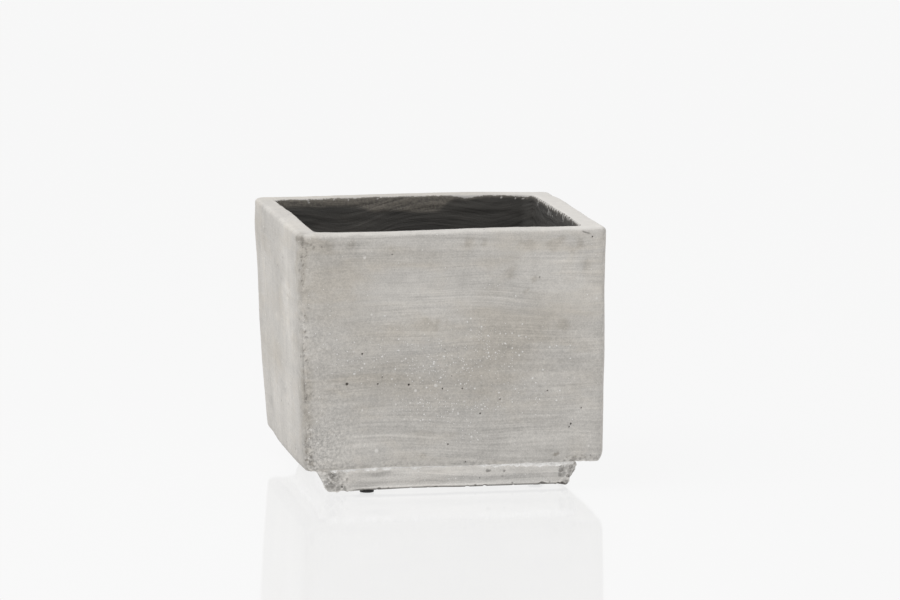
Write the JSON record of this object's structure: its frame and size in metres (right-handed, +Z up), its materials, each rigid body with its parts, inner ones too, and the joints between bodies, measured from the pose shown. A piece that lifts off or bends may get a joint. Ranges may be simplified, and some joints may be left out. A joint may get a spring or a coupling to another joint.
{
  "type": "square planter",
  "caption": "Square cast-cement cover pot with slightly tapered walls, a dark waterproofed inside and a recessed slab foot on small pads.",
  "frame": {"origin": "on the surface that the pot stands on, under the centre of the pot", "axes": "+Z up out of the mouth; the front wall faces -Y; +X to the right seen from the front"},
  "size_m": [0.14, 0.14, 0.1198],
  "materials": {
    "cast_concrete": "matte, brushed and trowelled, warm and cool grey blotches, white specks, pinholes",
    "brushed_waterproofing": "matte charcoal, arced brush strokes, thin and patchy along the top edge",
    "bonding_mortar": "rough off-white mortar, squeezed out and flecked",
    "foot_concrete": "matte light grey, faint horizontal streaks, chipped and pitted corners",
    "black_rubber": "matte black"
  },
  "bodies": {
    "root": {"planter_body": "cast_concrete", "waterproof_coat": "brushed_waterproofing", "mortar_bed": "bonding_mortar", "foot_slab": "foot_concrete", "pad_front_left": "black_rubber", "pad_front_right": "black_rubber", "pad_rear_left": "black_rubber", "pad_rear_right": "black_rubber"}
  },
  "joints": []
}
